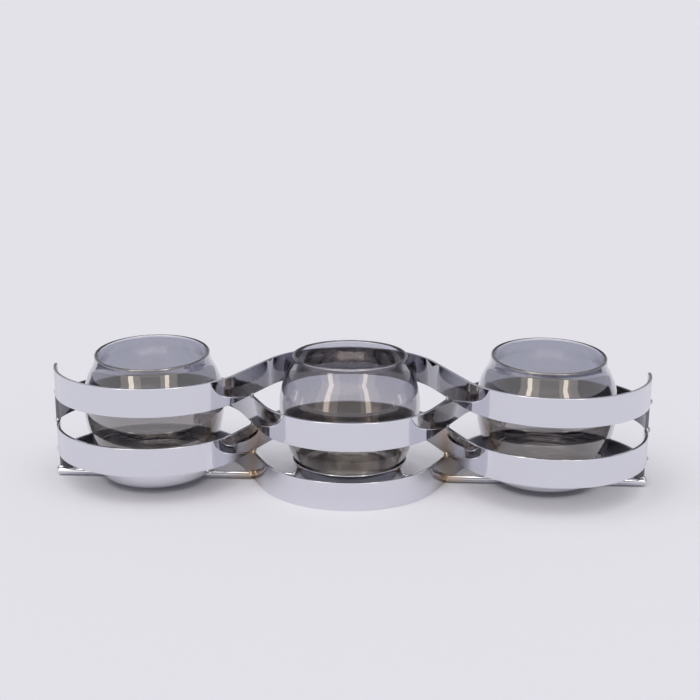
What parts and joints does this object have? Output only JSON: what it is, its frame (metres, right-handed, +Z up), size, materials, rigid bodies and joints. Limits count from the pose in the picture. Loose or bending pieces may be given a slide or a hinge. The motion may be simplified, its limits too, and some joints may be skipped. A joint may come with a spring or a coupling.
{
  "type": "candelabra",
  "caption": "Low chromed candelabra: stacked wavy flat bars weave round a row of smoked tumblers that stand in shallow pans on a rod and lift out.",
  "frame": {"origin": "on the floor under the middle glass, at the centre of the stand's length and depth", "axes": "+X along the stand from left to right, -Y is the front, +Z up"},
  "size_m": [0.406, 0.125, 0.0922],
  "materials": {
    "chromed_bar": "bright plated flat bar and rod with slightly softened edges",
    "chromed_pan": "bright plated thin sheet",
    "smoked_glass": "clear polished glass with a grey smoke tint",
    "tarnished_weld": "thinly plated brazed bead with brown tarnish",
    "chromed_weld": "plated weld bead, slightly lumpy"
  },
  "bodies": {
    "frame": {"top_bar": "chromed_bar", "upper_bar": "chromed_bar", "lower_bar": "chromed_bar", "bottom_bar": "chromed_bar", "left_rod": "chromed_bar", "middle_rod": "chromed_bar", "right_rod": "chromed_bar", "left_pan": "chromed_pan", "middle_pan": "chromed_pan", "right_pan": "chromed_pan", "left_crossing_welds": "tarnished_weld", "right_crossing_welds": "tarnished_weld", "left_end_welds": "chromed_weld", "right_end_welds": "chromed_weld", "left_pan_welds": "tarnished_weld", "middle_pan_welds": "tarnished_weld", "right_pan_welds": "tarnished_weld"},
    "left_glass": {"left_glass": "smoked_glass"},
    "middle_glass": {"middle_glass": "smoked_glass"},
    "right_glass": {"right_glass": "smoked_glass"}
  },
  "joints": [
    {"name": "left_glass_lift", "type": "slide", "parent": "frame", "child": "left_glass", "axis": [0, -0.061, 0.9981], "range_m": [0, 0.1]},
    {"name": "middle_glass_lift", "type": "slide", "parent": "frame", "child": "middle_glass", "axis": [0, 0, 1], "range_m": [0, 0.1]},
    {"name": "right_glass_lift", "type": "slide", "parent": "frame", "child": "right_glass", "axis": [0, -0.061, 0.9981], "range_m": [0, 0.1]}
  ]
}
